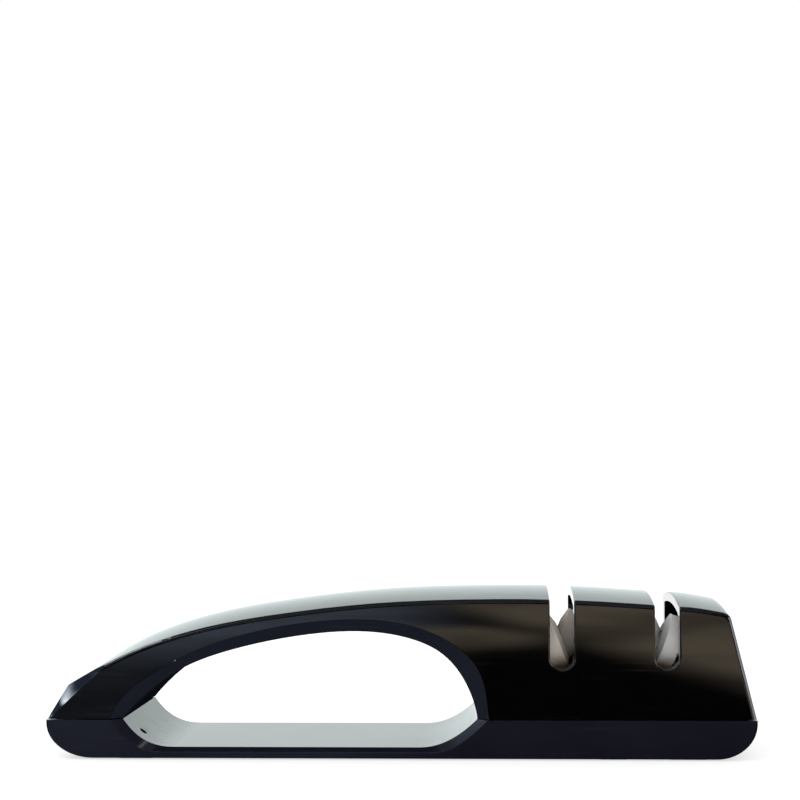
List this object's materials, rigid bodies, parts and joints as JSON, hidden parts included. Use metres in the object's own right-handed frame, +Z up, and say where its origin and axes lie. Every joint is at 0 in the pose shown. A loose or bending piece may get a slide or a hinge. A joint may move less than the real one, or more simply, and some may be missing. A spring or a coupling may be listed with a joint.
{
  "type": "pull through knife sharpener",
  "caption": "Long loop-handled knife sharpener that stands on a flat base, with crossed ceramic wheels in round-bottomed slots.",
  "frame": {"origin": "on the resting plane, under the middle of the sharpener's length and width", "axes": "+X along the handle towards the slotted head, +Y across from the front side to the rear side, +Z up"},
  "size_m": [0.214, 0.046, 0.0504],
  "materials": {
    "housing_gloss": "polished black moulding",
    "liner_gloss": "polished black moulding",
    "base_satin": "satin blue black moulding",
    "cradle_plastic": "plain moulded grey",
    "coarse_ceramic": "ground cream ceramic",
    "fine_ceramic": "ground white ceramic",
    "bush_plastic": "natural bearing plastic",
    "pin_steel": "ground",
    "washer_steel": "plain",
    "screw_steel": "bright zinc",
    "foot_rubber": "soft matt"
  },
  "bodies": {
    "housing": {"upper_housing": "housing_gloss", "handle_liner": "liner_gloss", "base_tray": "base_satin", "head_inner_front_foot": "foot_rubber", "head_inner_rear_foot": "foot_rubber", "head_outer_front_foot": "foot_rubber", "head_outer_rear_foot": "foot_rubber", "tail_front_foot": "foot_rubber", "tail_rear_foot": "foot_rubber", "coarse_cradle": "cradle_plastic", "coarse_front_axle": "pin_steel", "coarse_front_washer": "washer_steel", "coarse_rear_axle": "pin_steel", "coarse_rear_washer": "washer_steel", "fine_cradle": "cradle_plastic", "fine_front_axle": "pin_steel", "fine_front_washer": "washer_steel", "fine_rear_axle": "pin_steel", "fine_rear_washer": "washer_steel", "cradle_screws": "screw_steel", "housing_screws": "screw_steel"},
    "coarse_front_roller": {"coarse_front_wheel": "coarse_ceramic", "coarse_front_bush": "bush_plastic"},
    "coarse_rear_roller": {"coarse_rear_wheel": "coarse_ceramic", "coarse_rear_bush": "bush_plastic"},
    "fine_front_roller": {"fine_front_wheel": "fine_ceramic", "fine_front_bush": "bush_plastic"},
    "fine_rear_roller": {"fine_rear_wheel": "fine_ceramic", "fine_rear_bush": "bush_plastic"}
  },
  "joints": [
    {"name": "coarse_front_spin", "type": "hinge", "parent": "housing", "child": "coarse_front_roller", "pos_m": [0.04678, -0.00895, 0.03337], "axis": [0.9397, 0, 0.342], "continuous": true},
    {"name": "coarse_rear_spin", "type": "hinge", "parent": "housing", "child": "coarse_rear_roller", "pos_m": [0.05202, 0.00895, 0.03337], "axis": [-0.9397, 0, 0.342], "continuous": true},
    {"name": "fine_front_spin", "type": "hinge", "parent": "housing", "child": "fine_front_roller", "pos_m": [0.08242, -0.00895, 0.03337], "axis": [-0.9397, 0, 0.342], "continuous": true},
    {"name": "fine_rear_spin", "type": "hinge", "parent": "housing", "child": "fine_rear_roller", "pos_m": [0.07878, 0.00895, 0.03337], "axis": [0.9397, 0, 0.342], "continuous": true}
  ]
}
